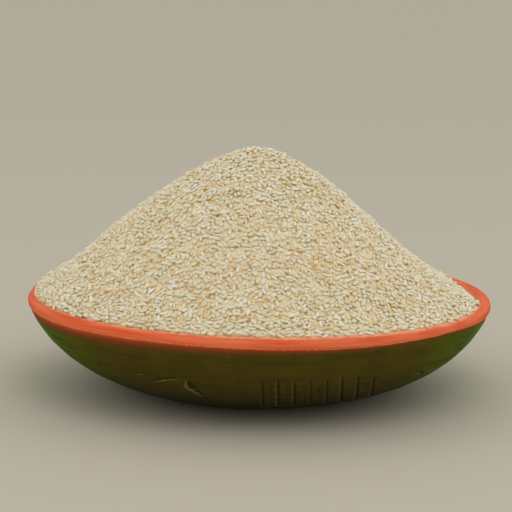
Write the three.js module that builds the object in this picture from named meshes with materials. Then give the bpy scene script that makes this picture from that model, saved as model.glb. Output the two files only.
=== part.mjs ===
// A shallow turned bowl, painted olive outside and orange inside, heaped with uncooked rice.
// Millimetres, +Z up. The origin is the centre of the flat foot, on the surface it stands on.
// The heap is a little fuller towards -X than towards +X.

import * as THREE from 'three';

// The bowl's driving dimensions.
const rimRadius = 180;
const bowlHeight = 75.5;
const footRadius = 55;
const floorThickness = 12;
const lipRadius = 5.4;

// The outer wall runs flat out of the foot for this far, and bends up towards the shoulder.
const bellyReach = 60;
const shoulderInset = 16;
const shoulderDrop = 46;

// The inner wall drops steeply under the lip, and levels out before the floor.
const underLipInset = 15;
const underLipDrop = 30;
const cavityCornerRadius = 120;
const floorRadius = 50;

// How finely the bowl is divided.
const bowlSegments = 72;
const outerWallSteps = 10;
const lipSteps = 7;
const innerWallSteps = 7;

// Angles round the lip's section: 0 points outwards, and 90 degrees points up.
const lipOuterAngle = THREE.MathUtils.degToRad(-40);
const lipInnerAngle = Math.PI;
const lipCentre = new THREE.Vector2(rimRadius - lipRadius, bowlHeight - lipRadius);

// The rice's driving dimensions. It keeps clear of the bowl by a hair.
const heapPeakHeight = 187;
const riceClearance = 0.4;

// How far over the lip the rice reaches, as an angle round the lip's section.
// The front and back are nearer to the right side's angle: a lower power brings them nearer.
const riceEdgeLeft = THREE.MathUtils.degToRad(95);
const riceEdgeRight = THREE.MathUtils.degToRad(55);
const riceEdgePower = 0.6;

// Round this direction, counted from +X towards +Y, the rice stays inside the lip.
const bareLipDirection = THREE.MathUtils.degToRad(7);
const bareLipNarrowness = 10;

// The heap's edge is blunt: it stands about this far above the lip.
const edgeThicknessLeft = 5;
const edgeThicknessRight = 2.5;
const edgeNarrowness = 6;

// The heap's outline from the -X rim over the peak to the +X rim, at even steps.
// 0 is the height of the rice at the rim, and 1 is the peak.
const heapOutline = [0, 0.171, 0.421, 0.627, 0.797, 0.933, 1, 0.899, 0.745, 0.543, 0.33, 0.138, 0];

// The slope is also gently uneven over longer stretches.
const waveHeight = 1;
const waveLength = 150;

// Grain-sized bumps cover the heap. A lift of 3.2 is about 2.5 square to the slope, a grain's thickness.
const grainLift = 3.2;
const leastLiftShare = 0.6;
const grainScatter = 0.6;
const grainSeed = 20;

// How finely the rice is divided. Neighbouring rings are 4.5 apart, less than a grain's length.
const heapRings = 38;
const undersideSegments = 60;
const lipWrapSteps = 4;

const oliveGreen = new THREE.Color(0.13, 0.12, 0.035);
const orangeRed = new THREE.Color(0.72, 0.17, 0.07);
const riceCream = new THREE.Color(0.72, 0.65, 0.48);

// Gives the same random draws on every run.
function randomFrom(seed) {
  let state = seed;
  return () => {
    state = (state + 0x6d2b79f5) | 0;
    let mixed = Math.imul(state ^ (state >>> 15), 1 | state);
    mixed = (mixed + Math.imul(mixed ^ (mixed >>> 7), 61 | mixed)) ^ mixed;
    return ((mixed ^ (mixed >>> 14)) >>> 0) / 4294967296;
  };
}

// A point of the lip's round section, or of the same section grown by an offset.
function lipPoint(angle, offset = 0) {
  const radius = lipRadius + offset;
  return new THREE.Vector2(Math.cos(angle), Math.sin(angle)).multiplyScalar(radius).add(lipCentre);
}

// The outer wall, as radius and height, from the edge of the foot up to the lip.
function outerWall() {
  const footEdge = new THREE.Vector2(footRadius, 0);
  const belly = new THREE.Vector2(footRadius + bellyReach, 0);
  const shoulder = new THREE.Vector2(rimRadius - shoulderInset, bowlHeight - shoulderDrop);
  return new THREE.CubicBezierCurve(footEdge, belly, shoulder, lipPoint(lipOuterAngle));
}

// The inner wall, from the lip down to the edge of the flat floor.
function innerWall() {
  const underLip = new THREE.Vector2(rimRadius - underLipInset, bowlHeight - underLipDrop);
  const cavityCorner = new THREE.Vector2(cavityCornerRadius, floorThickness);
  const floorEdge = new THREE.Vector2(floorRadius, floorThickness);
  return new THREE.CubicBezierCurve(lipPoint(lipInnerAngle), underLip, cavityCorner, floorEdge);
}

// The bowl's whole section, from the centre of the foot to the centre of the floor.
function bowlProfile() {
  const footCentre = new THREE.Vector2(0, 0);
  const floorCentre = new THREE.Vector2(0, floorThickness);
  const lip = [];
  for (let step = 1; step < lipSteps; step += 1) {
    lip.push(lipPoint(THREE.MathUtils.lerp(lipOuterAngle, lipInnerAngle, step / lipSteps)));
  }
  const outside = outerWall().getPoints(outerWallSteps);
  const inside = innerWall().getPoints(innerWallSteps);
  return [footCentre, ...outside, ...lip, ...inside, floorCentre];
}

// Paints the lip and the inside orange, and the rest olive.
function paintBowl(geometry, profileLength) {
  const colours = [];
  for (let index = 0; index < geometry.getAttribute('position').count; index += 1) {
    const isOutside = index % profileLength <= outerWallSteps;
    const colour = isOutside ? oliveGreen : orangeRed;
    colours.push(...colour.toArray());
  }
  geometry.setAttribute('color', new THREE.Float32BufferAttribute(colours, 3));
}

function makeBowl() {
  const profile = bowlProfile();
  const geometry = new THREE.LatheGeometry(profile, bowlSegments);
  paintBowl(geometry, profile.length);
  geometry.rotateX(Math.PI / 2);
  const material = new THREE.MeshStandardMaterial({ vertexColors: true, roughness: 0.45, metalness: 0 });
  const bowl = new THREE.Mesh(geometry, material);
  bowl.name = 'bowl';
  return bowl;
}

// 1 towards +X and 0 towards -X, and half way between at the front and back.
function rightShare(angle) {
  return (1 + Math.cos(angle)) / 2;
}

// 1 where the rice stays inside the lip, and 0 where it lies over it.
function bareLipShare(angle) {
  return Math.max(0, Math.cos(angle - bareLipDirection)) ** bareLipNarrowness;
}

// How far over the lip the rice reaches in one direction.
function riceLipAngle(angle) {
  const overLip = THREE.MathUtils.lerp(riceEdgeLeft, riceEdgeRight, rightShare(angle) ** riceEdgePower);
  return THREE.MathUtils.lerp(overLip, lipInnerAngle, bareLipShare(angle));
}

// How far the heap's edge stands above the lip in one direction.
function edgeThickness(angle) {
  return THREE.MathUtils.lerp(edgeThicknessRight, edgeThicknessLeft, (1 - rightShare(angle)) ** 2);
}

// The slope's gentle unevenness at one place.
function slopeWave(x, y) {
  const turn = Math.PI / waveLength;
  return waveHeight * Math.sin((x + 2 * y) * turn) * Math.sin((2 * x - y) * turn);
}

// The outline as a smooth curve. Only its heights are used.
const heapCurve = new THREE.SplineCurve(heapOutline.map((rise, step) => new THREE.Vector2(step, rise)));

// The heap's radius and height in one direction, at a share of the way from the peak to the edge.
function heapSection(share, angle) {
  const edge = lipPoint(riceLipAngle(angle), riceClearance);
  const left = heapCurve.getPoint((1 - share) / 2).y;
  const right = heapCurve.getPoint((1 + share) / 2).y;
  const rise = THREE.MathUtils.lerp(left, right, rightShare(angle));
  const radius = edge.x * share;
  const wave = slopeWave(radius * Math.cos(angle), radius * Math.sin(angle)) * Math.sin(share * Math.PI);
  const blunt = share < 1 ? edgeThickness(angle) * share ** edgeNarrowness : 0;
  return new THREE.Vector2(radius, edge.y + (heapPeakHeight - edge.y) * rise + blunt + wave);
}

// A ring of points round the axis, from the section's radius and height in each direction.
function ringOf(count, sectionAt) {
  const ring = [];
  for (let step = 0; step < count; step += 1) {
    const angle = (step / count) * 2 * Math.PI;
    const section = sectionAt(angle);
    ring.push(new THREE.Vector3(section.x * Math.cos(angle), section.x * Math.sin(angle), section.y));
  }
  return ring;
}

// The rings of the heap's upper surface, from the peak to the edge.
// All but the peak and the edge are scattered a little.
function heapSurfaceRings(random) {
  const rings = [[new THREE.Vector3(0, 0, heapPeakHeight)]];
  for (let step = 1; step <= heapRings; step += 1) {
    const ring = ringOf(6 * step, (angle) => heapSection(step / heapRings, angle));
    const scatter = step < heapRings ? grainScatter : 0;
    for (const point of ring) {
      point.x += scatter * (2 * random() - 1);
      point.y += scatter * (2 * random() - 1);
    }
    rings.push(ring);
  }
  return rings;
}

// The rings of the underside: over the lip to its inner side, then down the inner wall to the floor.
function undersideRings() {
  const sections = [];
  for (let step = 1; step <= lipWrapSteps; step += 1) {
    const share = step / lipWrapSteps;
    const lipAngle = (angle) => THREE.MathUtils.lerp(riceLipAngle(angle), lipInnerAngle, share);
    sections.push((angle) => lipPoint(lipAngle(angle), riceClearance));
  }
  const wall = innerWall();
  for (let step = 1; step <= innerWallSteps; step += 1) {
    const down = wall.getTangent(step / innerWallSteps);
    const inwards = new THREE.Vector2(down.y, -down.x).multiplyScalar(riceClearance);
    const section = wall.getPoint(step / innerWallSteps).add(inwards);
    sections.push(() => section);
  }
  const rings = sections.map((section) => ringOf(undersideSegments, section));
  return [...rings, [new THREE.Vector3(0, 0, floorThickness + riceClearance)]];
}

// Joins two rings, whatever their counts, with a band of triangles. A single point takes no steps.
function joinRings(inner, outer) {
  const innerSteps = inner.length > 1 ? inner.length : 0;
  const outerSteps = outer.length > 1 ? outer.length : 0;
  const band = [];
  let innerStep = 0;
  let outerStep = 0;
  while (innerStep < innerSteps || outerStep < outerSteps) {
    const innerPoint = inner[innerStep % inner.length];
    const outerPoint = outer[outerStep % outer.length];
    const innerIsBehind = (innerStep + 0.5) * outerSteps < (outerStep + 0.5) * innerSteps;
    if (innerIsBehind) {
      innerStep += 1;
      band.push([innerPoint, outerPoint, inner[innerStep % inner.length]]);
    } else {
      outerStep += 1;
      band.push([innerPoint, outerPoint, outer[outerStep % outer.length]]);
    }
  }
  return band;
}

// For each of the given points, those that share a triangle with it.
function findNeighbours(points, triangles) {
  const neighbours = new Map(points.map((point) => [point, new Set()]));
  for (const triangle of triangles) {
    const corners = triangle.filter((corner) => neighbours.has(corner));
    for (const corner of corners) {
      corners.forEach((other) => neighbours.get(corner).add(other));
    }
  }
  return neighbours;
}

// Raises grains on the surface, in a random order: two neighbouring points make one grain.
// The points beside a grain stay low, so that each grain stands apart.
function raiseGrains(points, triangles, random) {
  const neighbours = findNeighbours(points, triangles);
  const free = new Set(points);
  const order = points.map((point) => ({ point, rank: random() })).sort((a, b) => a.rank - b.rank);
  for (const { point } of order) {
    const partners = [...neighbours.get(point)].filter((other) => other !== point && free.has(other));
    if (!free.has(point) || partners.length === 0) {
      continue;
    }
    const partner = partners[Math.floor(random() * partners.length)];
    const lift = grainLift * THREE.MathUtils.lerp(leastLiftShare, 1, random());
    for (const member of [point, partner]) {
      member.z += lift;
      neighbours.get(member).forEach((other) => free.delete(other));
    }
  }
}

// Turns triangles of shared points into an indexed geometry.
function geometryFrom(triangles) {
  const numbers = new Map();
  const positions = [];
  const index = [];
  for (const corner of triangles.flat()) {
    if (!numbers.has(corner)) {
      numbers.set(corner, numbers.size);
      positions.push(corner.x, corner.y, corner.z);
    }
    index.push(numbers.get(corner));
  }
  const geometry = new THREE.BufferGeometry();
  geometry.setAttribute('position', new THREE.Float32BufferAttribute(positions, 3));
  geometry.setIndex(index);
  geometry.computeVertexNormals();
  return geometry;
}

function makeRice() {
  const random = randomFrom(grainSeed);
  const surface = heapSurfaceRings(random);
  const rings = [...surface, ...undersideRings()];
  const triangles = rings.slice(1).flatMap((ring, step) => joinRings(rings[step], ring));
  raiseGrains(surface.slice(0, -1).flat(), triangles, random);
  const material = new THREE.MeshStandardMaterial({ color: riceCream, roughness: 0.7, metalness: 0 });
  const rice = new THREE.Mesh(geometryFrom(triangles), material);
  rice.name = 'rice';
  return rice;
}

const heapedBowl = new THREE.Group();
heapedBowl.add(makeBowl(), makeRice());

export default heapedBowl;
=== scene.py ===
"""A shallow turned bowl, painted olive outside and orange on its lip and inside, heaped with rice.

Metres, +Z up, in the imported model's frame. The photograph looks along +Y, with +X to its right.
The bowl is one turned mesh with carved relief. The rice is a core under thousands of settled grains.
"""

import math

import bpy
import numpy as np
from mathutils import Matrix, Vector
from mathutils.bvhtree import BVHTree


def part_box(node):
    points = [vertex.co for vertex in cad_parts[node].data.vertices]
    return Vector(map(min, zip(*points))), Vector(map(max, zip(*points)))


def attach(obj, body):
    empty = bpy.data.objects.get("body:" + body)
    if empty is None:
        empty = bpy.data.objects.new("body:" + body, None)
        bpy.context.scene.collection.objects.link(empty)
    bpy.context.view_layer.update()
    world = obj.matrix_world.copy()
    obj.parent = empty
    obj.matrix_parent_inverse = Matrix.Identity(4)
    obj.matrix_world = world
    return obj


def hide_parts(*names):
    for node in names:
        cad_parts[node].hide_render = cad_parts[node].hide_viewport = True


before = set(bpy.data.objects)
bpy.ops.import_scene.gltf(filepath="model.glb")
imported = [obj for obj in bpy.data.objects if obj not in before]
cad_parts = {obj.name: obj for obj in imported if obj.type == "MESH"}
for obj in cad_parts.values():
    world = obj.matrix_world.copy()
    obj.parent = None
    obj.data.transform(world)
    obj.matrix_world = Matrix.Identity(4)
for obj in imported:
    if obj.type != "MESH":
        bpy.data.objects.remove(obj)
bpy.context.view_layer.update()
bowl_low, bowl_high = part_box("bowl")
rice_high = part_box("rice")[1]

MM = 0.001

# The photograph's camera. It looks at the centre of the rim, which lands on this pixel.
IMAGE_SIZE = 512
RIM_CENTRE_PIXEL = (260.0, 290.8)
FOCAL_PIXELS = 1838.0
SENSOR_WIDTH = 36.0
CAMERA_ELEVATION = math.radians(10.4)
CAMERA_ROLL = math.radians(0.95)
CAMERA_DISTANCE = 1.44

# The bowl's section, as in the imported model.
RIM_RADIUS = bowl_high.x
RIM_HEIGHT = bowl_high.z
FOOT_RADIUS = 55 * MM
FLOOR_HEIGHT = 12 * MM
FLOOR_RADIUS = 50 * MM
LIP_RADIUS = 5.4 * MM
BELLY_REACH = 60 * MM
SHOULDER_INSET = 16 * MM
SHOULDER_DROP = 46 * MM
UNDER_LIP_INSET = 15 * MM
UNDER_LIP_DROP = 30 * MM
CAVITY_CORNER_RADIUS = 120 * MM
LIP_OUTER_ANGLE = math.radians(-40)
LIP_INNER_ANGLE = math.pi
LIP_CENTRE = np.array([RIM_RADIUS - LIP_RADIUS, RIM_HEIGHT - LIP_RADIUS])

# How finely the bowl is divided. The carved band has more points round it than the rest.
PLAIN_SEGMENTS = 440
CARVED_SEGMENTS = 3 * PLAIN_SEGMENTS
FOOT_ROW_STEP = 18 * MM
PLAIN_ROW_STEP = 6 * MM
CARVED_ROW_STEP = 1.2 * MM
SHOULDER_ROW_STEP = 3 * MM
EDGE_ROW_STEP = 0.6 * MM
LIP_ROW_STEP = 1.3 * MM
INSIDE_ROW_STEP = 20 * MM

# Distances along the outer wall, from the edge of the foot.
CARVED_FROM = 64 * MM
CARVED_TO = 133 * MM
EDGE_BAND = 6 * MM

# The orange coat ends a little above the wall's end, in a hand-brushed line that wanders.
COAT_EDGE = 0.5 * MM
COAT_WANDER = 1.8 * MM
COAT_WAVES = 5
COAT_WAVES_FROM = 32.5
LEFT_WANDER_SHARE = 0.3

# On the right the coat ends in a crisp edge, with a narrow groove under it.
CRISP_TURN = math.radians(15)
CRISP_BIAS = 0.35
LIP_GROOVE_DEPTH = 0.25 * MM
LIP_GROOVE_WIDTH = 1.0 * MM
LIP_GROOVE_DROP = 1.6 * MM

# Pale rice dust and a painted reflection of the rice lie on the lip this far outside the heap.
DUST_AND_REFLECTION_REACH = 2.6 * MM

# The wall isn't quite true: shallow turning waves and a slow wobble.
TURNING_WAVE = 0.08 * MM
TURNING_WAVE_LENGTH = 17 * MM
TURNING_SWAYS = 2
WOBBLE = 0.25 * MM
WOBBLES = 3
WOBBLE_FROM = 1.0


def bezier(corners, steps):
    """Points of a cubic curve through four corners."""
    share = np.linspace(0, 1, steps + 1)[:, None]
    rest = 1 - share
    first, second, third, fourth = (np.array(corner) for corner in corners)
    return rest**3 * first + 3 * rest**2 * share * second + 3 * rest * share**2 * third + share**3 * fourth


def lip_point(angle):
    """A point of the lip's round section. 0 points outwards and 90 degrees up."""
    return LIP_CENTRE + LIP_RADIUS * np.array([np.cos(angle), np.sin(angle)])


def path_lengths(path):
    """How far along the path each of its points lies."""
    steps = np.linalg.norm(np.diff(path, axis=0), axis=1)
    return np.concatenate([[0], np.cumsum(steps)])


def points_along(path, distances):
    """The path's points at these distances along it."""
    lengths = path_lengths(path)
    return np.column_stack([np.interp(distances, lengths, path[:, axis]) for axis in range(2)])


def even_steps(start, end, step):
    """Distances from start up to but not including end, about a step apart."""
    count = max(1, round((end - start) / step))
    return np.linspace(start, end, count, endpoint=False)


FINE_STEPS = 800
OUTER_WALL = bezier([
    (FOOT_RADIUS, 0),
    (FOOT_RADIUS + BELLY_REACH, 0),
    (RIM_RADIUS - SHOULDER_INSET, RIM_HEIGHT - SHOULDER_DROP),
    lip_point(LIP_OUTER_ANGLE),
], FINE_STEPS)
INNER_WALL = bezier([
    lip_point(LIP_INNER_ANGLE),
    (RIM_RADIUS - UNDER_LIP_INSET, RIM_HEIGHT - UNDER_LIP_DROP),
    (CAVITY_CORNER_RADIUS, FLOOR_HEIGHT),
    (FLOOR_RADIUS, FLOOR_HEIGHT),
], FINE_STEPS)
WALL_LENGTH = path_lengths(OUTER_WALL)[-1]
LIP_LENGTH = LIP_RADIUS * (LIP_INNER_ANGLE - LIP_OUTER_ANGLE)


def wall_radius(along):
    """The outer wall's radius at these distances along it."""
    return np.interp(along, path_lengths(OUTER_WALL), OUTER_WALL[:, 0])


def bowl_section():
    """The section's rows from the centre of the foot to the centre of the floor.

    Gives each row's radius and height, and its distance from the edge of the foot."""
    foot_radii = even_steps(0, FOOT_RADIUS, FOOT_ROW_STEP)
    foot = np.column_stack([foot_radii, np.zeros_like(foot_radii)])

    edge_from = WALL_LENGTH - EDGE_BAND
    wall_rows = np.concatenate([
        even_steps(0, CARVED_FROM, PLAIN_ROW_STEP),
        even_steps(CARVED_FROM, CARVED_TO, CARVED_ROW_STEP),
        even_steps(CARVED_TO, edge_from, SHOULDER_ROW_STEP),
        even_steps(edge_from, WALL_LENGTH, EDGE_ROW_STEP),
    ])
    wall = points_along(OUTER_WALL, wall_rows)

    lip_rows = even_steps(0, LIP_LENGTH, LIP_ROW_STEP)
    lip = np.array([lip_point(LIP_OUTER_ANGLE + row / LIP_RADIUS) for row in lip_rows])

    inside_length = path_lengths(INNER_WALL)[-1]
    inside_rows = even_steps(0, inside_length, INSIDE_ROW_STEP)
    inside = points_along(INNER_WALL, inside_rows)
    floor = np.array([(FLOOR_RADIUS, FLOOR_HEIGHT), (0, FLOOR_HEIGHT)])

    section = np.vstack([foot, wall, lip, inside, floor])
    lip_end = WALL_LENGTH + LIP_LENGTH
    floor_rows = lip_end + inside_length + np.array([0, FLOOR_RADIUS])
    along = np.concatenate([
        foot_radii - FOOT_RADIUS,
        wall_rows,
        WALL_LENGTH + lip_rows,
        lip_end + inside_rows,
        floor_rows,
    ])
    return section, along


# The carving runs round the lower wall in like stretches.
# A place on the wall is an azimuth in degrees and a distance along the wall in millimetres.
# Azimuth 0 faces the photograph's viewer, and grows towards +X.
CARVED_STRETCHES = 3
CARVING_SEED = 7

# Upright flutes, spaced by how far they are across the front of the bowl, in millimetres.
FLUTES = 8
FLUTE_FIRST = 4.2
FLUTE_PITCH = 11.4
FLUTE_LOW = 66
FLUTE_HIGH = 116
FLUTE_LEAN = 1.2
FLUTE_WIDTHS = (1.5, 1.1)
FLUTE_DEPTH = 0.85
FLUTE_PARTS = 5
NICK_WIDTHS = (0.5, 0.5)
NICK_DEPTH = 0.5

# Short slanted cuts between the flutes, and closer ones after the last of them.
HATCHES = 14
HATCH_LOW = 74
HATCH_HIGH = 108
HATCH_RUNS = (1.5, 4.5)
HATCH_RISES = (1, 8)
HATCH_WIDTHS = (0.8, 0.6)
HATCH_DEPTH = 0.5
LAST_HATCHES = 12

# Slanted scrapes on the right side.
SCRAPES = 5
SCRAPE_FIRST = 42.5
SCRAPE_PITCH = 1.7
SCRAPE_SLANT = 2.2
SCRAPE_LOW = 103
SCRAPE_HIGH = 107.5

# A fine line cut round the bowl, deepest at this azimuth and its likes.
RING_LINE_ALONG = 120
RING_LINE_AZIMUTH = 50
RING_LINE_WIDTH = 0.7
RING_LINE_DEPTH = 0.3


def stroke(start, end, widths, depth):
    """One tapered cut of a gouge. Widths are half widths at its two ends, in millimetres."""
    return {"start": start, "end": end, "widths": widths, "depth": depth}


def chain(places, sizes, depth):
    """A bent cut through a row of places, with its half width at each."""
    pairs = zip(places, places[1:], sizes, sizes[1:])
    return [stroke(start, end, (size, next_size), depth) for start, end, size, next_size in pairs]


def facing(across, along):
    """The place on the wall that is this far across the front of the bowl, in millimetres."""
    return math.degrees(math.asin(across * MM / wall_radius(along * MM))), along


def upright(across, low, high, widths, depth):
    """A cut that looks upright from in front."""
    shares = np.linspace(0, 1, FLUTE_PARTS)
    places = [facing(across - FLUTE_LEAN * share, low + (high - low) * share) for share in shares]
    sizes = [widths[0] + (widths[1] - widths[0]) * share for share in shares]
    return chain(places, sizes, depth)


def hatch_strokes(random, count, low_across, high_across):
    """Short cuts at random places between two flutes, rising to the right."""
    strokes = []
    for _ in range(count):
        across = random.uniform(low_across, high_across - 3)
        along = random.uniform(HATCH_LOW, HATCH_HIGH)
        run = random.uniform(*HATCH_RUNS)
        rise = random.uniform(*HATCH_RISES)
        depth = HATCH_DEPTH * random.uniform(0.5, 1.2)
        end = facing(across + run, along + rise)
        strokes.append(stroke(facing(across, along), end, HATCH_WIDTHS, depth))
    return strokes


def flute_strokes(random):
    """Upright flutes, with slanted hatching between them and a nick above each."""
    strokes = []
    for number in range(FLUTES):
        across = FLUTE_FIRST + number * FLUTE_PITCH + random.uniform(-0.4, 0.4)
        low = FLUTE_LOW + random.uniform(0, 5)
        high = FLUTE_HIGH + random.uniform(-4, 2)
        depth = FLUTE_DEPTH * random.uniform(0.55, 1.1)
        strokes += upright(across, low, high, FLUTE_WIDTHS, depth)
        nick = facing(across - 1.8, high + 1)
        strokes.append(stroke(nick, facing(across - 0.6, high + 3), NICK_WIDTHS, NICK_DEPTH))
        strokes += hatch_strokes(random, HATCHES, across + 2, across + FLUTE_PITCH - 1)
    last = FLUTE_FIRST + FLUTES * FLUTE_PITCH
    strokes += hatch_strokes(random, LAST_HATCHES, last - FLUTE_PITCH + 3, last + 4)
    return strokes


def leaf_strokes():
    """The leaves and gouges between two fluted stretches."""
    thin_pair = upright(-7.6, 66, 117, (0.6, 0.5), 0.4) + upright(-13.2, 66, 116, (0.5, 0.4), 0.3)
    strokes = thin_pair + [
        stroke(facing(-14, 92), facing(-8, 107), (0.5, 0.4), 0.35),
        stroke(facing(-11.5, 66), facing(-11.3, 93), (0.5, 0.4), 0.3),
        stroke((6.0, 140), (7.8, 140.3), (1.0, 1.2), 0.25),
    ]

    # The leaf and the drop beside it.
    leaf = [(-28.9, 107), (-27, 110), (-25, 112.4), (-22.6, 114.2), (-19.6, 116)]
    strokes += chain(leaf, [0.5, 1.5, 1.6, 1.2, 0.5], 1.1)
    drop = [(-17.9, 110.5), (-17.6, 104), (-16.9, 97), (-16.2, 90), (-15.4, 84)]
    strokes += chain(drop, [2.3, 4.2, 2.9, 1.3, 0.4], 1.2)
    strokes.append(stroke((-19.2, 117.5), (-17.2, 118.2), (0.5, 0.4), 0.35))

    # Small leaves to the left of it.
    strokes += chain([(-33.4, 116), (-31.8, 115.4), (-29.8, 114.4)], [0.7, 1.4, 0.6], 0.8)
    strokes += chain([(-45.2, 98), (-42.6, 99.6), (-40, 100.6)], [0.5, 1.2, 0.5], 0.7)
    curl = [(-46.4, 114.5), (-43.8, 118.4), (-41.6, 118), (-40.4, 114.8)]
    strokes += chain(curl, [0.4, 1.0, 1.0, 0.5], 0.7)

    # Long veins that run down the left side.
    strokes += chain([(-65, 133.5), (-58, 133), (-52, 131.4)], [0.4, 0.8, 0.5], 0.5)
    strokes += chain([(-63, 131.4), (-57.5, 127), (-53.5, 123.5), (-51, 119)], [0.4, 0.9, 0.9, 0.4], 0.7)
    strokes += chain([(-53, 121.5), (-48.8, 112.5), (-46.2, 105)], [0.4, 0.9, 0.4], 0.7)
    strokes += chain([(-48.8, 122.5), (-46, 116.5), (-42.2, 110.5)], [0.3, 0.6, 0.3], 0.5)
    strokes += chain([(-50.6, 120), (-47.2, 112), (-44.2, 106)], [0.3, 0.6, 0.3], 0.5)
    strokes += chain([(-56, 120), (-52, 111), (-49, 103)], [0.3, 0.7, 0.3], 0.5)
    strokes += chain([(-62, 122), (-58, 113), (-55, 106)], [0.3, 0.7, 0.3], 0.5)

    # The hook and the scrapes on the right side.
    strokes += chain([(46.6, 112), (49.4, 110.4), (51.8, 106.5), (53, 102)], [0.6, 1.1, 0.9, 0.4], 0.9)
    strokes += chain([(47, 118), (53, 114.6), (59, 110.6)], [0.4, 0.7, 0.4], 0.35)
    for number in range(SCRAPES):
        azimuth = SCRAPE_FIRST + SCRAPE_PITCH * number
        end = (azimuth + SCRAPE_SLANT, SCRAPE_HIGH)
        strokes.append(stroke((azimuth, SCRAPE_LOW), end, (0.5, 0.4), 0.3))
    strokes.append(stroke((43.0, 136.2), (43.5, 136.8), (0.7, 0.6), 0.4))
    return strokes


def carving_strokes():
    """Every stroke, repeated round the bowl."""
    random = np.random.default_rng(CARVING_SEED)
    strokes = []
    for stretch in range(CARVED_STRETCHES):
        turn = stretch * 360 / CARVED_STRETCHES
        for cut in flute_strokes(random) + leaf_strokes():
            start = (cut["start"][0] + turn, cut["start"][1])
            end = (cut["end"][0] + turn, cut["end"][1])
            strokes.append(stroke(start, end, cut["widths"], cut["depth"]))
    return strokes


# In half widths of a cut: how far it and its painted highlight reach, and where and how wide that highlight
# is.
CUT_REACH = 2.2
HIGHLIGHT_PLACE = 1.25
HIGHLIGHT_WIDTH = 0.6


def carve(azimuth, along, radius):
    """How deep each place of the wall is cut, and how near it is to the painted highlight beside a cut.

    The depth is in metres. The second result is 1 on a painted highlight and 0 away from it."""
    depth = np.zeros_like(along)
    edge = np.zeros_like(along)
    for cut in carving_strokes():
        (start_azimuth, start_along), (end_azimuth, end_along) = cut["start"], cut["end"]
        reach = CUT_REACH * max(cut["widths"]) * MM
        low = min(start_along, end_along) * MM - reach
        high = max(start_along, end_along) * MM + reach
        turn = (azimuth - start_azimuth + 180) % 360 - 180
        side = np.radians(turn) * radius
        middle_radius = wall_radius((start_along + end_along) / 2 * MM)
        end_side = math.radians(end_azimuth - start_azimuth) * middle_radius
        is_near = (along > low) & (along < high)
        is_near &= (side > min(0, end_side) - reach) & (side < max(0, end_side) + reach)
        near_side = side[is_near]
        near_up = along[is_near] - start_along * MM
        end_up = (end_along - start_along) * MM
        share = np.clip((near_side * end_side + near_up * end_up) / (end_side**2 + end_up**2), 0, 1)
        off_side = near_side - share * end_side
        off_up = near_up - share * end_up
        width = (cut["widths"][0] * (1 - share) + cut["widths"][1] * share) * MM
        gap = np.hypot(off_side, off_up) / width
        depth[is_near] = np.maximum(depth[is_near], cut["depth"] * MM * np.clip(1 - gap**2, 0, 1))
        # Painted highlight: a band on the cut's lower left side, where its wall would catch the light.
        is_lit_side = off_side + off_up < 0
        lit_band = np.clip(1 - np.abs(gap - HIGHLIGHT_PLACE) / HIGHLIGHT_WIDTH, 0, 1) * is_lit_side
        edge[is_near] = np.maximum(edge[is_near], lit_band * min(1, cut["depth"]))
    fading = np.clip(np.cos(np.radians(azimuth - RING_LINE_AZIMUTH) * CARVED_STRETCHES), 0, 1)
    ring = np.clip(1 - ((along / MM - RING_LINE_ALONG) / RING_LINE_WIDTH) ** 2, 0, 1)
    return np.maximum(depth, RING_LINE_DEPTH * MM * ring * fading), edge


def coat_edge(azimuth):
    """How far along the section the orange coat ends, round the bowl."""
    rightness = np.clip(np.sin(np.radians(azimuth)), 0, 1)
    wander = COAT_WANDER * np.sin(COAT_WAVES * np.radians(azimuth - COAT_WAVES_FROM))
    share = LEFT_WANDER_SHARE + (1 - LEFT_WANDER_SHARE) * rightness
    return WALL_LENGTH + COAT_EDGE + wander * share


def row_normals(section):
    """The outward direction of the section at each row."""
    tangent = np.gradient(section, axis=0)
    normal = np.column_stack([tangent[:, 1], -tangent[:, 0]])
    return normal / np.linalg.norm(normal, axis=1)[:, None]


def mesh_piece(name, vertices, faces, uv, material, node, attributes=()):
    """Makes a smooth-shaded object from arrays. Faces is a list of arrays, each of faces of one size.

    The map has a place for each corner of each face, in the order of the faces."""
    mesh = bpy.data.meshes.new(name)
    corner_counts = np.concatenate([np.full(len(group), group.shape[1]) for group in faces])
    corners = np.concatenate([group.ravel() for group in faces])
    mesh.vertices.add(len(vertices))
    mesh.vertices.foreach_set("co", np.ascontiguousarray(vertices, dtype=np.float32).ravel())
    mesh.loops.add(len(corners))
    mesh.loops.foreach_set("vertex_index", corners.astype(np.int32))
    mesh.polygons.add(len(corner_counts))
    starts = np.concatenate([[0], np.cumsum(corner_counts)[:-1]])
    mesh.polygons.foreach_set("loop_start", starts.astype(np.int32))
    mesh.polygons.foreach_set("use_smooth", np.ones(len(corner_counts), dtype=bool))
    layer = mesh.uv_layers.new(name="OFBake")
    layer.data.foreach_set("uv", np.ascontiguousarray(uv, dtype=np.float32).ravel())
    for label, values in dict(attributes).items():
        kind = "FLOAT_VECTOR" if values.ndim == 2 else "FLOAT"
        attribute = mesh.attributes.new(label, kind, "POINT")
        field = "vector" if values.ndim == 2 else "value"
        attribute.data.foreach_set(field, np.ascontiguousarray(values, dtype=np.float32).ravel())
    mesh.update(calc_edges=True)
    mesh.validate()
    mesh.materials.append(material)
    piece = bpy.data.objects.new(name, mesh)
    bpy.context.scene.collection.objects.link(piece)
    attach(piece, "root")
    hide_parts(node)


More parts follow.
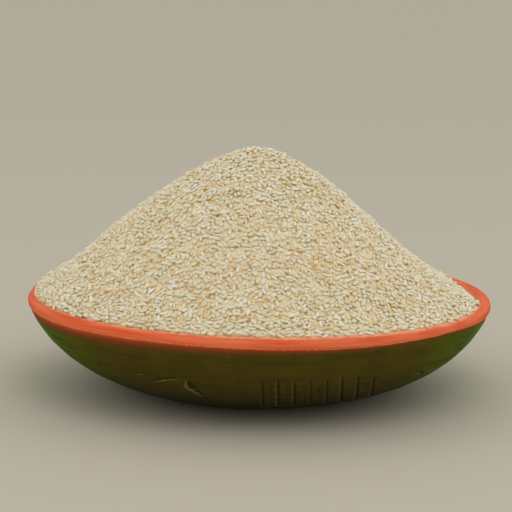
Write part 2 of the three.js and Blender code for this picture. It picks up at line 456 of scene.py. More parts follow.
def turned_faces(sides):
    """Faces of a turned body whose rings have these numbers of points, and their bake map.

    A ring of one point is a tip. Neighbouring rings are alike, or one has a multiple of the
    other's points. The map is a square: round the axis, and along the rings."""
    starts = np.concatenate([[0], np.cumsum(sides)])
    last = len(sides) - 1

    def edge_points(ring, faces_round):
        """The ring's points along each face, and where they lie on the map."""
        if sides[ring] == 1:
            points = np.zeros((faces_round, 1), dtype=int)
            across = (np.arange(faces_round)[:, None] + 0.5) / faces_round
        else:
            steps = sides[ring] // faces_round
            points = np.arange(faces_round)[:, None] * steps + np.arange(steps + 1)
            across = points / sides[ring]
        places = np.stack([across, np.full_like(across, ring / last)], axis=-1)
        return starts[ring] + points % sides[ring], places

    groups, maps = [], []
    for ring in range(last):
        pair = sides[ring], sides[ring + 1]
        faces_round = max(pair) if min(pair) == 1 else min(pair)
        lower, lower_places = edge_points(ring, faces_round)
        upper, upper_places = edge_points(ring + 1, faces_round)
        groups.append(np.concatenate([lower, upper[:, ::-1]], axis=1))
        maps.append(np.concatenate([lower_places, upper_places[:, ::-1]], axis=1).reshape(-1, 2))
    return groups, np.vstack(maps)


def map_parts(faces, uv):
    """A bake map's places, apart for each group of faces."""
    ends = np.cumsum([group.size for group in faces])[:-1]
    return np.split(uv, ends)


def turned_over(faces, uv):
    """The same faces and map with their other side out."""
    pairs = zip(faces, map_parts(faces, uv))
    maps = [part.reshape(*group.shape, 2)[:, ::-1].reshape(-1, 2) for group, part in pairs]
    return [group[:, ::-1] for group in faces], np.vstack(maps)


def make_bowl(is_rice, material):
    """The turned and carved bowl."""
    section, along_rows = bowl_section()
    is_carved_row = (along_rows >= CARVED_FROM) & (along_rows < CARVED_TO)
    sides = np.where(is_carved_row, CARVED_SEGMENTS, PLAIN_SEGMENTS)
    sides[[0, -1]] = 1
    row = np.repeat(np.arange(len(sides)), sides)
    turn = np.concatenate([np.arange(count) / count * 2 * math.pi for count in sides])
    azimuth = np.degrees(turn) + 90
    along = along_rows[row]

    on_wall = (along > 0) & (along < WALL_LENGTH)
    depth, edge = carve(azimuth, along, section[row, 0])
    depth = np.where(on_wall, depth, 0)
    coat = coat_edge(azimuth)
    crispness = np.clip(np.sin(np.radians(azimuth) + CRISP_TURN) + CRISP_BIAS, 0, 1)
    groove_gap = (along - coat + LIP_GROOVE_DROP) / LIP_GROOVE_WIDTH
    groove = LIP_GROOVE_DEPTH * crispness * np.exp(-(groove_gap**2))
    sway = np.sin(TURNING_SWAYS * turn)
    waves = TURNING_WAVE * np.sin(along / TURNING_WAVE_LENGTH * 2 * math.pi + sway)
    fullness = np.sin(np.clip(along / WALL_LENGTH, 0, 1) * math.pi)
    wobble = WOBBLE * np.sin(WOBBLES * turn + WOBBLE_FROM) * fullness
    shift = np.where(on_wall, waves + wobble - depth, 0) - groove

    normals = row_normals(section)[row]
    radius = section[row, 0] + shift * normals[:, 0]
    height = np.maximum(section[row, 1] + shift * normals[:, 1], 0)
    vertices = np.column_stack([radius * np.cos(turn), radius * np.sin(turn), height])
    vertices[[0, -1], :2] = 0
    faces, uv = turned_faces(sides)
    beyond_rice = np.hypot(vertices[:, 0], vertices[:, 1]) - heap_reach(is_rice, turn)
    attributes = {
        "right": np.cos(turn),
        "back": np.sin(turn),
        "along": along,
        "below_coat": coat - along,
        "crispness": crispness,
        "carved": np.clip(depth / (FLUTE_DEPTH * MM), 0, 1),
        "cut_highlight": edge,
        # Rice dust and a painted reflection of the rice, on the lip near the heap.
        "dust_and_reflection": np.where(along > WALL_LENGTH, 1 - beyond_rice / DUST_AND_REFLECTION_REACH, 0).clip(0, 1),
    }
    mesh_piece("bowl_turned", vertices, faces, uv, material, "bowl", attributes)


# The settling of the rice works on square maps of heights.
CELL = 0.45 * MM
MAP_REACH = RIM_RADIUS + 6 * MM
MAP_SIDE = 2 * int(MAP_REACH / CELL) + 1
MAP_AXIS = (np.arange(MAP_SIDE) - MAP_SIDE // 2) * CELL
FAR_BELOW = -1.0
SMOOTHING = 3.2 * MM
EDGE_TAPER = 3 * MM
EDGE_LAYER = 1.2 * MM
LEAST_SHARE = 1e-6
RAY_START_RISE = 10 * MM
LIP_MAP_STEPS = 60


def at_places(field, x, y):
    """The map's values at these places."""
    columns = np.clip(np.rint(x / CELL).astype(int) + MAP_SIDE // 2, 0, MAP_SIDE - 1)
    rows = np.clip(np.rint(y / CELL).astype(int) + MAP_SIDE // 2, 0, MAP_SIDE - 1)
    return field[rows, columns]


def blur(field, reach):
    """A soft average of a map."""
    cells = reach / CELL
    steps = np.arange(-int(3 * cells), int(3 * cells) + 1)
    weights = np.exp(-0.5 * (steps / cells) ** 2)
    weights /= weights.sum()
    spread = [np.convolve(line, weights, mode="same") for line in field]
    return np.array([np.convolve(line, weights, mode="same") for line in np.array(spread).T]).T


def heap_surface(ground):
    """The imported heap's upper surface without its bumps, and where it is.

    At its edge it thins out to one layer of grains on the ground."""
    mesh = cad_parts["rice"].data
    corners = [vertex.co.copy() for vertex in mesh.vertices]
    tree = BVHTree.FromPolygons(corners, [list(face.vertices) for face in mesh.polygons])
    heights = np.zeros((MAP_SIDE, MAP_SIDE))
    is_rice = np.zeros((MAP_SIDE, MAP_SIDE), dtype=bool)
    down = Vector((0, 0, -1))
    above = rice_high.z + RAY_START_RISE
    reach_squared = RIM_RADIUS**2
    for row, y in enumerate(MAP_AXIS):
        for column, x in enumerate(MAP_AXIS):
            if x * x + y * y > reach_squared:
                continue
            place = tree.ray_cast(Vector((x, y, above)), down)[0]
            if place is not None:
                heights[row, column] = place.z
                is_rice[row, column] = True
    share = np.maximum(blur(is_rice.astype(float), SMOOTHING), LEAST_SHARE)
    smooth = blur(heights, SMOOTHING) / share
    cover = np.clip((blur(is_rice.astype(float), EDGE_TAPER) - 0.5) / 0.5, 0, 1)
    layer = np.minimum(smooth - ground, EDGE_LAYER)
    return ground + layer + (smooth - ground - layer) * np.sqrt(cover), is_rice


def bowl_top():
    """The height of the bowl's upper side: its inner wall and its lip."""
    lip_angles = np.linspace(LIP_INNER_ANGLE, 0, LIP_MAP_STEPS)
    lip = np.array([lip_point(angle) for angle in lip_angles])
    line = np.vstack([INNER_WALL[::-1], lip[1:]])
    distance = np.hypot(*np.meshgrid(MAP_AXIS, MAP_AXIS))
    return np.interp(distance, line[:, 0], line[:, 1], right=FAR_BELOW)


def heap_reach(is_rice, turn):
    """How far from the axis the rice reaches in these directions."""
    radii = np.arange(RIM_RADIUS / 2, RIM_RADIUS, CELL / 2)
    grid_turn, grid_radius = np.meshgrid(turn, radii)
    covered = at_places(is_rice, grid_radius * np.cos(grid_turn), grid_radius * np.sin(grid_turn))
    return np.where(covered, grid_radius, 0).max(axis=0)


# The kinds of grain: half length, half width and half thickness, and how many of all grains.
GRAIN_KINDS = {
    "pearly": {"size": (3.35, 1.34, 1.06), "share": 0.17},
    "cream": {"size": (3.25, 1.42, 1.12), "share": 0.19},
    "plump": {"size": (2.95, 1.55, 1.20), "share": 0.18},
    "chalky": {"size": (3.20, 1.42, 1.12), "share": 0.16},
    "golden": {"size": (3.20, 1.36, 1.08), "share": 0.16},
    "broken": {"size": (2.05, 1.34, 1.08), "share": 0.14},
}
GRAIN_SIZE_SPREAD = 0.12
GRAIN_SIZE_LIMITS = (0.8, 1.2)
GRAIN_SEED = 11

# Grains settle on a bed this far under the heap's surface, until they reach the surface.
BED_DEPTH = 4.0 * MM
SETTLING_TRIES = 34000
CHOICES = 10
SINK = 0.32 * MM

# A grain is left out if its top would be more than half its thickness and this raise over the surface.
SURFACE_RAISE = 0.7 * MM
SURFACE_SPREAD = 0.3 * MM

# A grain is held up at this share of its half length, and leans and rolls only so far.
LEVER = 0.62
STEEPEST_LEAN = math.radians(18)
LEAN_SPREAD = math.radians(4)
ROLL_SPREAD = math.radians(16)

# A grain that shows in fewer cells than this is buried.
LEAST_CELLS = 6

# The grains tend to lie the way they slid down the slope. Near the lip they lie along it.
DOWNHILL_SPREAD = math.radians(48)
ALONG_LIP_FROM = RIM_RADIUS - 12 * MM
ALONG_LIP_SPREAD = math.radians(26)

# How many cells the patch under a grain reaches from its middle. Only the longest tips reach further.
PATCH = 7


class Settling:
    """Grains dropped one by one. Each looks at a few places and lies down in the lowest."""

    def __init__(self, surface, is_rice, ground):
        self.surface = surface
        self.rise_y, self.rise_x = np.gradient(surface, CELL)
        self.heights = np.where(is_rice, np.maximum(ground, surface - BED_DEPTH), ground)
        self.owner = np.full(surface.shape, -1)
        self.places = np.argwhere(is_rice)
        self.random = np.random.default_rng(GRAIN_SEED)
        self.grains = []
        steps = np.arange(-PATCH, PATCH + 1)
        self.row_steps = np.repeat(steps, len(steps))
        self.column_steps = np.tile(steps, len(steps))

    def directions(self, rows, columns, size):
        """Each choice's long, wide and thick directions: along the slope, as its ends are held."""
        count = len(rows)
        x, y = MAP_AXIS[columns], MAP_AXIS[rows]
        downhill = np.arctan2(y, x) + self.random.normal(0, DOWNHILL_SPREAD, count)
        along_lip = np.arctan2(x, -y) + self.random.normal(0, ALONG_LIP_SPREAD, count)
        heading = np.where(np.hypot(x, y) > ALONG_LIP_FROM, along_lip, downhill)
        cosine, sine = np.cos(heading), np.sin(heading)
        reach = LEVER * size[0]
        step_column = np.rint(reach * cosine / CELL).astype(int)
        step_row = np.rint(reach * sine / CELL).astype(int)
        far = self.heights[rows + step_row, columns + step_column]
        near = self.heights[rows - step_row, columns - step_column]
        held = np.arctan2(far - near, 2 * reach)
        rise_x, rise_y = self.rise_x[rows, columns], self.rise_y[rows, columns]
        slope = np.arctan(rise_x * cosine + rise_y * sine)
        lean = np.clip(held, slope - STEEPEST_LEAN, slope + STEEPEST_LEAN)
        lean = lean + self.random.normal(0, LEAN_SPREAD, count)
        long = np.stack([cosine * np.cos(lean), sine * np.cos(lean), np.sin(lean)], axis=-1)
        normal = np.stack([-rise_x, -rise_y, np.ones(count)], axis=-1)
        wide = np.cross(normal, long)
        wide /= np.linalg.norm(wide, axis=1)[:, None]
        thick = np.cross(long, wide)
        roll = self.random.normal(0, ROLL_SPREAD, count)[:, None]
        return long, wide * np.cos(roll) + thick * np.sin(roll), thick * np.cos(roll) - wide * np.sin(roll)

    def sides(self, directions, size):
        """The lower and upper side of each choice's ellipsoid over a patch of cells, and where it is."""
        form = sum(
            axis[:, :, None] * axis[:, None, :] / extent**2 for axis, extent in zip(directions, size)
        )
        x = self.column_steps * CELL
        y = self.row_steps * CELL
        half = form[:, 0, 2, None] * x + form[:, 1, 2, None] * y
        rest = form[:, 0, 0, None] * x**2 + 2 * form[:, 0, 1, None] * x * y + form[:, 1, 1, None] * y**2 - 1
        stiffness = form[:, 2, 2, None]
        inside = half**2 - stiffness * rest
        root = np.sqrt(np.maximum(inside, 0))
        return (-half - root) / stiffness, (-half + root) / stiffness, inside > 0

    def drop(self, kind, size, allowance, places):
        """Lays one grain in the lowest of the given places, unless it would stand out of the heap."""
        rows, columns = places.T
        directions = self.directions(rows, columns, size)
        lower, upper, covers = self.sides(directions, size)
        patch_rows = rows[:, None] + self.row_steps
        patch_columns = columns[:, None] + self.column_steps
        under = self.heights[patch_rows, patch_columns]
        resting = np.where(covers, under - lower, FAR_BELOW).max(axis=1) - SINK
        above = resting - self.surface[rows, columns]
        best = int(np.argmin(above))
        top = resting[best] + np.where(covers[best], upper[best], FAR_BELOW).max()
        if top - self.surface[rows[best], columns[best]] > allowance:
            return
        where = covers[best]
        cells = patch_rows[best][where], patch_columns[best][where]
        new_heights = resting[best] + upper[best][where]
        wins = new_heights > self.heights[cells]
        self.heights[cells] = np.where(wins, new_heights, self.heights[cells])
        winning = cells[0][wins], cells[1][wins]
        self.owner[winning] = len(self.grains)
        centre = np.array([MAP_AXIS[columns[best]], MAP_AXIS[rows[best]], resting[best]])
        axes = [direction[best] for direction in directions]
        self.grains.append({"kind": kind, "size": size, "centre": centre, "axes": axes})

    def fill(self):
        """Drops grains until the heap is full."""
        kinds = list(GRAIN_KINDS)
        shares = np.array([GRAIN_KINDS[kind]["share"] for kind in kinds])
        chosen = self.random.choice(len(kinds), SETTLING_TRIES, p=shares / shares.sum())
        for number in chosen:
            kind = kinds[number]
            scale = self.random.normal(1, GRAIN_SIZE_SPREAD, 3).clip(*GRAIN_SIZE_LIMITS)
            size = np.array(GRAIN_KINDS[kind]["size"]) * MM * scale
            allowance = SURFACE_RAISE + size[2] + self.random.normal(0, SURFACE_SPREAD)
            places = self.places[self.random.integers(len(self.places), size=CHOICES)]
            self.drop(kind, size, allowance, places)

    def showing(self):
        """The grains that aren't buried."""
        cells = np.bincount(self.owner[self.owner >= 0], minlength=len(self.grains))
        return [grain for grain, count in zip(self.grains, cells) if count >= LEAST_CELLS]


# One grain's form, from tip to tip: where its rings are, and how full it is.
GRAIN_SIDES = 6
GRAIN_RINGS = (-0.86, -0.45, 0.05, 0.5, 0.86)
GRAIN_FULLNESS = 2.6
GRAIN_BEND = 0.07
GERM_FROM = 0.8
GERM_CUT = 0.55
GERM_TIP_SHIFT = -0.3

# A grain turns golden between these depths under the heap's surface, a painted warm light bouncing between
# the grains.
BOUNCE_LIGHT_FROM = -0.2 * MM
BOUNCE_LIGHT_AT = 1.2 * MM

# The bare edge of each grain's own square of the bake map.
CELL_MARGIN = 0.08


def grain_form():
    """A grain's points along, across and up, its faces, and their bake map in a unit square."""
    points = [(-1, 0, 0)]
    for number, ring in enumerate(GRAIN_RINGS):
        girth = math.sqrt(1 - abs(ring) ** GRAIN_FULLNESS)
        for side in range(GRAIN_SIDES):
            turn = (side + 0.5 * (number % 2)) / GRAIN_SIDES * 2 * math.pi
            across = girth * math.cos(turn)
            if ring > GERM_FROM and across > 0:
                across *= GERM_CUT
            points.append((ring, across + GRAIN_BEND * (1 - ring**2), girth * math.sin(turn)))
    points.append((1, GERM_TIP_SHIFT, 0))
    faces, uv = turned_faces([1] + [GRAIN_SIDES] * len(GRAIN_RINGS) + [1])
    return np.array(points), faces, uv


def make_grains(kind, grains, surface, material):
    """One mesh of all the grains of a kind."""
    form, faces, uv = grain_form()
    centres = np.array([grain["centre"] for grain in grains])
    sizes = np.array([grain["size"] for grain in grains])
    axes = np.array([grain["axes"] for grain in grains])
    flips = np.random.default_rng(GRAIN_SEED + len(grains)).choice([-1, 1], len(grains))
    axes[:, 0] *= flips[:, None]
    axes[:, 1] *= flips[:, None]
    reaches = axes * sizes[:, :, None]
    vertices = centres[:, None, :] + np.einsum("pk,gkc->gpc", form, reaches)

    count, points = len(grains), len(form)
    offsets = np.arange(count) * points
    all_faces = [(offsets[:, None, None] + group).reshape(-1, group.shape[1]) for group in faces]

    cells = math.ceil(math.sqrt(count))
    cell_corner = np.stack([np.arange(count) % cells, np.arange(count) // cells], axis=-1)
    maps = []
    for part in map_parts(faces, uv):
        inner = CELL_MARGIN + part * (1 - 2 * CELL_MARGIN)
        maps.append(((cell_corner[:, None, :] + inner) / cells).reshape(-1, 2))

    depth = at_places(surface, vertices[..., 0], vertices[..., 1]) - vertices[..., 2]
    tone = np.random.default_rng(GRAIN_SEED + 1).random(count)
    attributes = {
        "tone": np.repeat(tone, points),
        "depth": depth.ravel(),
        "lengthwise": np.tile(form[:, 0], count),
    }
    vertices = vertices.reshape(-1, 3)
    mesh_piece("rice_" + kind, vertices, all_faces, np.vstack(maps), material, "rice", attributes)


# The rice under the grains. It thins out to a film on the lip, just inside the heap's edge.
CORE_DEPTH = 1.35 * MM
CORE_INSET = 1.5 * MM
CORE_RINGS = 96
CORE_SEGMENTS = 400
CORE_FILM = 0.1 * MM
CORE_CLEARANCE = 0.05 * MM
CORE_LUMP = 0.35 * MM
CORE_LUMP_LENGTH = 4.5 * MM
CORE_UNDERSIDE_RINGS = 20


def make_core(surface, is_rice, ground, material):
    """The mass of rice that shows between the grains: a lumpy top, and an underside along the bowl."""
    turn = np.arange(CORE_SEGMENTS) / CORE_SEGMENTS * 2 * math.pi
    reach = heap_reach(is_rice, turn) - CORE_INSET

    def rings(shares):
        """Rings of places at these shares of the way to the edge."""
        radius = np.outer(shares, reach)
        return radius * np.cos(turn), radius * np.sin(turn)

    x, y = rings(np.arange(1, CORE_RINGS + 1) / CORE_RINGS)
    waves = 2 * math.pi / CORE_LUMP_LENGTH
    lumps = np.sin(x * waves) * np.sin(y * waves)
    z = at_places(surface, x, y) - CORE_DEPTH + CORE_LUMP * lumps
    z = np.maximum(z, at_places(ground, x, y) + CORE_FILM)
    top = np.stack([x, y, z], axis=-1).reshape(-1, 3)

    x, y = rings(np.arange(CORE_UNDERSIDE_RINGS, 0, -1) / CORE_UNDERSIDE_RINGS)
    under = np.stack([x, y, at_places(ground, x, y) + CORE_CLEARANCE], axis=-1).reshape(-1, 3)

    peak = np.array([[0, 0, at_places(surface, 0, 0) - CORE_DEPTH]])
    base = np.array([[0, 0, at_places(ground, 0, 0) + CORE_CLEARANCE]])
    vertices = np.vstack([peak, top, under, base])
    faces, uv = turned_faces([1] + [CORE_SEGMENTS] * (CORE_RINGS + CORE_UNDERSIDE_RINGS) + [1])
    faces, uv = turned_over(faces, uv)
    mesh_piece("rice_core", vertices, faces, uv, material, "rice")


def linear(red, green, blue):
    """A colour from 0 to 255 a channel, as seen on a screen, for a node."""
    shares = [channel / 255 for channel in (red, green, blue)]
    curve = [((share + 0.055) / 1.055) ** 2.4 if share > 0.04045 else share / 12.92 for share in shares]
    return (*curve, 1.0)


class Recipe:
    """A material's nodes, added step by step. Each step gives the socket that it ends in."""

    def __init__(self, name):
        self.material = bpy.data.materials.new(name)
        self.material.use_nodes = True
        self.tree = self.material.node_tree
        self.shader = self.tree.nodes["Principled BSDF"]

    def feed(self, socket, value):
        """Links a socket, or sets a plain value."""
        if isinstance(value, bpy.types.NodeSocket):
            self.tree.links.new(value, socket)
        else:
            socket.default_value = value

    def add(self, kind, inputs, output=0, **settings):
        """A node with its settings and inputs."""
        node = self.tree.nodes.new(kind)
        for key, value in settings.items():
            setattr(node, key, value)
        for key, value in inputs.items():
            self.feed(node.inputs[key], value)
        return node.outputs[output]

    def attribute(self, name):
        """A number stored at the mesh's points."""
        return self.add("ShaderNodeAttribute", {}, output=2, attribute_name=name)

    def calc(self, operation, first, second=0.0):
        """Arithmetic on two numbers."""
        return self.add("ShaderNodeMath", {0: first, 1: second}, operation=operation)

    def join(self, x, y, z):
        """Three numbers as one vector."""
        return self.add("ShaderNodeCombineXYZ", {0: x, 1: y, 2: z})

    def noise(self, place, scale, detail=2.0, roughness=0.5):
        """A soft random number from 0 to 1."""
        inputs = {"Vector": place, "Scale": scale, "Detail": detail, "Roughness": roughness}
        return self.add("ShaderNodeTexNoise", inputs)

    def between(self, value, low, high, start=0.0, end=1.0):
        """Start below low and end above high, with a smooth step between."""
        inputs = {"Value": value, 1: low, 2: high, 3: start, 4: end}
        return self.add("ShaderNodeMapRange", inputs, interpolation_type="SMOOTHSTEP")

    def mix(self, share, first, second):
        """A blend of two colours."""
        inputs = {0: share, 6: first, 7: second}
        return self.add("ShaderNodeMix", inputs, output=2, data_type="RGBA")

    def ramp(self, share, stops):
        """A colour from a row of stops."""
        node = self.tree.nodes.new("ShaderNodeValToRGB")
        elements = node.color_ramp.elements
        while len(elements) < len(stops):
            elements.new(0.5)
        for element, (position, colour) in zip(elements, stops):
            element.position = position
            element.color = colour
        self.feed(node.inputs[0], share)
        return node.outputs[0]

    def bump(self, height, distance, normal=None):
        """Fine relief from a height."""
        inputs = {"Height": height, "Distance": distance, "Strength": 1.0}
        if normal is not None:
            inputs["Normal"] = normal
        return self.add("ShaderNodeBump", inputs)

    def place(self):
        """The point's place on the object."""
        return self.add("ShaderNodeTexCoord", {}, output=3)

    def finish(self, colour, roughness, normal, **constants):
        """Joins the results to the shader."""
        self.feed(self.shader.inputs["Base Color"], colour)
        self.feed(self.shader.inputs["Roughness"], roughness)
        self.feed(self.shader.inputs["Normal"], normal)
        for name, value in constants.items():
            self.shader.inputs[name.replace("_", " ")].default_value = value
        return self.material


OLIVE = linear(90, 78, 26)
OLIVE_DARK = linear(70, 63, 23)
# Painted shade for the lower wall, which faces the floor.
OLIVE_UNDERSIDE_SHADE = linear(54, 54, 34)
# Greens for a painted side light on the flanks of the bowl.
SIDE_LIT_GREEN = linear(83, 103, 3)
SIDE_HIGHLIGHT_GREEN = linear(96, 151, 0)
# Darker orange and browns: painted shade under the lip, where the orange paint also thins into the olive.
SHADED_ORANGE = linear(200, 81, 45)
SHADED_BROWN = linear(142, 72, 36)
BROWN_FADE = linear(110, 72, 31)
ORANGE = linear(248, 122, 80)
ORANGE_DEEP = linear(234, 98, 56)
ORANGE_PALE = linear(253, 160, 120)
CHIP = linear(254, 182, 128)
GREEN_CHIP = linear(119, 124, 60)
# Grime and painted shade for the insides of the cuts.
GROOVE_GRIME_AND_SHADE = linear(44, 48, 38)
# Painted highlight for the lit side of the cuts.
CUT_HIGHLIGHT_COLOUR = linear(151, 135, 60)
# Rice dust, and a painted reflection of the bright rice on the lip.
RICE_DUST_AND_REFLECTION = linear(250, 214, 176)


def painted_wood():
    """Olive paint under an orange lip, brushed on round the turning bowl, with grime and painted shade in
    the cuts and painted highlights beside them.
    """
    paint = Recipe("painted_wood")
    right = paint.attribute("right")
    back = paint.attribute("back")
    along = paint.attribute("along")
    below_coat = paint.attribute("below_coat")
    crispness = paint.attribute("crispness")
    carved = paint.attribute("carved")
    cut_highlight = paint.attribute("cut_highlight")
    dust_and_reflection = paint.attribute("dust_and_reflection")

    def round_the_bowl(across, rise):
        """A place whose changes are slow round the bowl and quick along its section."""
        return paint.join(
            paint.calc("MULTIPLY", right, across),
            paint.calc("MULTIPLY", back, across),
            paint.calc("MULTIPLY", along, rise),
        )

    fine_streaks = paint.noise(round_the_bowl(5.0, 800.0), 1.0, 3.0, 0.6)
    broad_streaks = paint.noise(round_the_bowl(3.0, 260.0), 1.0, 2.0)
    blotches = paint.noise(round_the_bowl(9.0, 60.0), 1.0, 3.0)
    specks = paint.noise(round_the_bowl(90.0, 520.0), 1.0, 2.0, 0.7)

    # The olive coat: greener towards both sides as a painted side light, darker below as painted shade, and
    # darker in streaks and blotches.
    side = paint.calc("ABSOLUTE", right)
    olive = paint.mix(paint.between(blotches, 0.38, 0.66, 0.0, 0.5), OLIVE, OLIVE_DARK)
    # Painted side light: the coat turns green towards both sides, brightest at the far sides.
    olive = paint.mix(paint.between(side, 0.6, 0.92), olive, SIDE_LIT_GREEN)
    olive = paint.mix(paint.between(side, 0.88, 1.0), olive, SIDE_HIGHLIGHT_GREEN)
    olive = paint.mix(paint.between(broad_streaks, 0.4, 0.7, 0.0, 0.45), olive, OLIVE_DARK)
    # Painted shade: the lower wall, turned down to the floor, darkens towards the foot.
    olive = paint.mix(paint.between(along, 60 * MM, 125 * MM, 0.75, 0.0), olive, OLIVE_UNDERSIDE_SHADE)
    olive = paint.mix(paint.between(specks, 0.70, 0.76, 0.0, 0.7), olive, GREEN_CHIP)
    # Painted highlight on the lit side of each cut.
    olive = paint.mix(paint.between(cut_highlight, 0.1, 0.9, 0.0, 0.6), olive, CUT_HIGHLIGHT_COLOUR)
    # The cuts darken: grime, and painted shade in their hollows.
    olive = paint.mix(paint.between(carved, 0.1, 0.7, 0.0, 0.65), olive, GROOVE_GRIME_AND_SHADE)

    # Below its edge the orange coat fades through brown, slowly on the left and quickly on the right. The
    # brown is partly orange paint thinning into the olive and partly painted shade under the lip.
    softness = paint.calc("SUBTRACT", 1.0, crispness)
    wander = paint.calc("MULTIPLY", paint.calc("SUBTRACT", blotches, 0.5), 1.2 * MM)
    below = paint.calc("ADD", below_coat, wander)
    fade_width = paint.calc("ADD", paint.calc("MULTIPLY", softness, 4.0 * MM), 2.2 * MM)
    fade = paint.calc("DIVIDE", below, fade_width)
    fade_colour = paint.ramp(fade, [(0.0, SHADED_ORANGE), (0.45, SHADED_BROWN), (1.0, BROWN_FADE)])
    wall = paint.mix(paint.between(fade, 0.5, 1.8, 1.0, 0.0), olive, fade_colour)

    # The orange coat, with streaks. A broken line of pale wear runs just above its edge, and under that
    # line the orange darkens as painted shade where the lip turns down.
    line_rise = paint.calc("MULTIPLY", softness, 1.6 * MM)
    under_line = paint.calc("ADD", below, line_rise)
    orange = paint.mix(paint.between(broad_streaks, 0.35, 0.65), ORANGE, ORANGE_DEEP)
    orange = paint.mix(paint.between(fine_streaks, 0.45, 0.8, 0.0, 0.5), orange, ORANGE_PALE)
    orange = paint.mix(paint.between(under_line, 0.0, 1.2 * MM, 0.0, 0.8), orange, SHADED_ORANGE)

    # Rice dust and a painted reflection of the bright rice, on the lip by the heap, in patches.
    patches = paint.calc("MULTIPLY", paint.calc("SUBTRACT", blotches, 0.5), 0.6)
    dust_and_reflection_share = paint.calc("ADD", dust_and_reflection, patches)
    orange = paint.mix(paint.between(dust_and_reflection_share, 0.2, 1.0, 0.0, 0.6), orange, RICE_DUST_AND_REFLECTION)
    coat = paint.mix(paint.between(below, -0.25 * MM, 0.15 * MM, 1.0, 0.0), wall, orange)
    line_gap = paint.calc("ABSOLUTE", paint.calc("ADD", under_line, 0.25 * MM))
    on_line = paint.between(line_gap, 0.15 * MM, 0.5 * MM, 1.0, 0.0)
    worn = paint.calc("MULTIPLY", on_line, paint.between(specks, 0.42, 0.6, 0.0, 0.7))
    coat = paint.mix(worn, coat, CHIP)

    # A dull sheen that the streaks break up.
    roughness = paint.between(fine_streaks, 0.3, 0.7, 0.46, 0.6)
    grime = paint.between(carved, 0.05, 0.6, 0.0, 0.25)
    roughness = paint.calc("ADD", roughness, grime)
    normal = paint.bump(fine_streaks, 0.12 * MM)
    normal = paint.bump(specks, 0.10 * MM, normal)
    return paint.finish(coat, roughness, normal, Specular_IOR_Level=0.02)


# Gold for each grain's germ end, and for a painted warm light between the grains.
GERM_GOLD_AND_BOUNCE_LIGHT = linear(251, 229, 182)
CORE_CREAM = linear(244, 234, 205)
# Painted warm shade for the deep pits between the grains.
CORE_PIT_SHADE = linear(226, 188, 124)
CHALK = linear(252, 246, 228)

GRAIN_COLOURS = {
    "pearly": [linear(240, 236, 214), linear(246, 244, 228)],
    "cream": [linear(236, 229, 194), linear(242, 235, 204)],
    "plump": [linear(238, 229, 199), linear(244, 236, 211)],
    "chalky": [linear(243, 239, 221), linear(250, 248, 236)],
    "golden": [linear(234, 212, 166), linear(242, 224, 196)],
    "broken": [linear(238, 227, 192), linear(245, 237, 212)],
}
CHALK_SHARES = {
    "pearly": 0.25,
    "cream": 0.2,
    "plump": 0.4,
    "chalky": 0.9,
    "golden": 0.1,
    "broken": 0.3,
}

# Light sinks a little way into the rice.
RICE_LIGHT = {
    "Subsurface_Weight": 0.25,
    "Subsurface_Radius": (1.0, 0.8, 0.55),
    "Subsurface_Scale": 0.8 * MM,
}


def rice_grain(kind):
    """A raw grain: pearly at its ends, chalky in its belly, and golden where it lies deep, a painted warm
    light bouncing between the grains.
    """
    grain = Recipe("rice_" + kind)
    tone = grain.attribute("tone")
    depth = grain.attribute("depth")
    lengthwise = grain.attribute("lengthwise")
    place = grain.place()
    clouds = grain.noise(place, 420.0, 2.0)
    grooves = grain.noise(place, 2600.0, 2.0, 0.6)

    first, last = GRAIN_COLOURS[kind]
    colour = grain.ramp(tone, [(0.0, first), (1.0, last)])
    belly = grain.between(grain.calc("ABSOLUTE", lengthwise), 0.35, 0.9, 1.0, 0.0)
    chalk = grain.calc("MULTIPLY", belly, grain.between(clouds, 0.4, 0.62, 0.0, CHALK_SHARES[kind]))
    colour = grain.mix(chalk, colour, CHALK)
    germ = grain.between(lengthwise, 0.8, 1.0, 0.0, 0.35)
    colour = grain.mix(germ, colour, GERM_GOLD_AND_BOUNCE_LIGHT)
    # Painted warm light bouncing between the grains: the deeper parts turn golden.
    golden = grain.between(depth, BOUNCE_LIGHT_FROM, BOUNCE_LIGHT_AT, 0.0, 0.85)
    colour = grain.mix(golden, colour, GERM_GOLD_AND_BOUNCE_LIGHT)

    roughness = grain.between(clouds, 0.3, 0.7, 0.45, 0.6)
    normal = grain.bump(grooves, 0.05 * MM)
    return grain.finish(colour, roughness, normal, Specular_IOR_Level=0.15, **RICE_LIGHT)


def rice_mass():
    """The rice between the grains: cream, with amber patches of painted warm shade where its hollows lie
    deep.
    """
    mass = Recipe("rice_mass")
    place = mass.place()
    lumps = mass.noise(place, 260.0, 2.0)
    pit_shade_patches = mass.noise(place, 190.0, 1.0)
    fine = mass.noise(place, 1300.0, 3.0, 0.6)
    # Painted warm shade: amber patches where the pits between the grains lie deep.
    colour = mass.mix(mass.between(pit_shade_patches, 0.38, 0.48), CORE_PIT_SHADE, CORE_CREAM)
    roughness = mass.between(fine, 0.3, 0.7, 0.55, 0.75)
    normal = mass.bump(lumps, 0.8 * MM)
    normal = mass.bump(fine, 0.2 * MM, normal)
    return mass.finish(colour, roughness, normal, Specular_IOR_Level=0.2, **RICE_LIGHT)


def make_rice(surface, is_rice, ground):
    """The core and the grains that settle on it."""
    settling = Settling(surface, is_rice, ground)
    settling.fill()
    grains = settling.showing()
    make_core(surface, is_rice, ground, rice_mass())
    for kind in GRAIN_KINDS:
        own = [grain for grain in grains if grain["kind"] == kind]
        make_grains(kind, own, surface, rice_grain(kind))


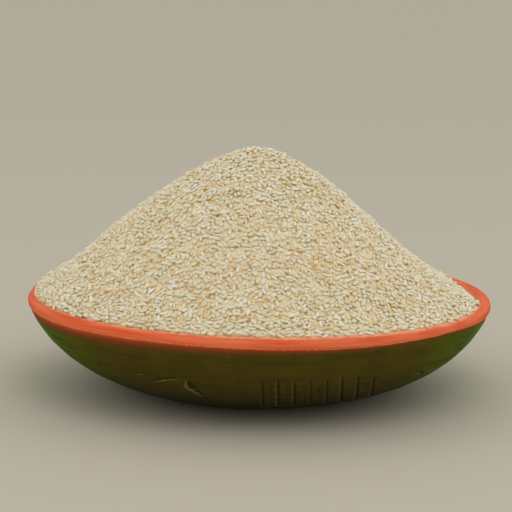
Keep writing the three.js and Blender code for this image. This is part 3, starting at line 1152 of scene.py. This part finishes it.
def make_camera():
    """The photograph's view, with the rim's centre on its pixel."""
    cosine, sine = math.cos(CAMERA_ELEVATION), math.sin(CAMERA_ELEVATION)
    forward = Vector((0, cosine, -sine))
    up = Vector((0, sine, cosine))
    right = Vector((1, 0, 0))
    half_image = IMAGE_SIZE / 2
    across = RIM_CENTRE_PIXEL[0] - half_image
    down = RIM_CENTRE_PIXEL[1] - half_image
    aim = (forward * FOCAL_PIXELS + up * down - right * across).normalized()
    level = aim.cross(up).normalized()
    top = level.cross(aim)
    rolled = level * math.cos(CAMERA_ROLL) + top * math.sin(CAMERA_ROLL)
    rolled_top = rolled.cross(aim)

    camera = bpy.data.objects.new("camera", bpy.data.cameras.new("camera"))
    bpy.context.scene.collection.objects.link(camera)
    camera.data.sensor_width = SENSOR_WIDTH
    camera.data.lens = SENSOR_WIDTH * FOCAL_PIXELS / IMAGE_SIZE
    turn = Matrix((rolled, rolled_top, -aim)).transposed().to_4x4()
    place = Vector((0, 0, RIM_HEIGHT)) - forward * CAMERA_DISTANCE
    camera.matrix_world = Matrix.Translation(place) @ turn
    bpy.context.scene.camera = camera


# The studio: a pale floor, an even surround, and soft boxes that face the heap.
FLOOR_REACH = 20.0
FLOOR_COLOUR = linear(202, 196, 180)
SURROUND_COLOUR = (1.0, 0.98, 0.94, 1.0)
SURROUND_STRENGTH = 0.71
SOFT_BOXES = {
    "key": {"place": (0.5, -1.5, 2.3), "size": 1.8, "power": 9},
    "left": {"place": (-2.2, -0.2, 1.0), "size": 1.2, "power": 1.4},
    "right": {"place": (2.2, -0.2, 1.0), "size": 1.2, "power": 1.8},
}


def add_soft_box(name, place, size, power):
    """A square area light that faces the heap."""
    light = bpy.data.lights.new(name, "AREA")
    light.shape = "SQUARE"
    light.size = size
    light.energy = power
    box = bpy.data.objects.new(name, light)
    box.location = place
    target = Vector((0, 0, RIM_HEIGHT))
    box.rotation_euler = (target - Vector(place)).to_track_quat("-Z", "Y").to_euler()
    bpy.context.scene.collection.objects.link(box)


def make_studio():
    """The floor, the lights and the surround."""
    corners = np.array([(-1, -1, 0), (1, -1, 0), (1, 1, 0), (-1, 1, 0)]) * FLOOR_REACH
    mesh = bpy.data.meshes.new("floor")
    mesh.from_pydata(corners.tolist(), [], [(0, 1, 2, 3)])
    floor = bpy.data.objects.new("floor", mesh)
    floor.location.z = bowl_low.z
    bpy.context.scene.collection.objects.link(floor)
    card = Recipe("studio_floor")
    fine = card.noise(card.place(), 900.0, 2.0)
    normal = card.bump(fine, 0.03 * MM)
    mesh.materials.append(card.finish(FLOOR_COLOUR, 0.85, normal, Specular_IOR_Level=0.2))

    for name, box in SOFT_BOXES.items():
        add_soft_box(name, box["place"], box["size"], box["power"])

    world = bpy.data.worlds.new("studio")
    world.use_nodes = True
    background = world.node_tree.nodes["Background"]
    background.inputs["Color"].default_value = SURROUND_COLOUR
    background.inputs["Strength"].default_value = SURROUND_STRENGTH
    bpy.context.scene.world = world
    bpy.context.scene.view_settings.view_transform = "Standard"


make_camera()
bowl_ground = bowl_top()
heap_top, heap_cells = heap_surface(bowl_ground)
make_bowl(heap_cells, painted_wood())
make_rice(heap_top, heap_cells, bowl_ground)
make_studio()
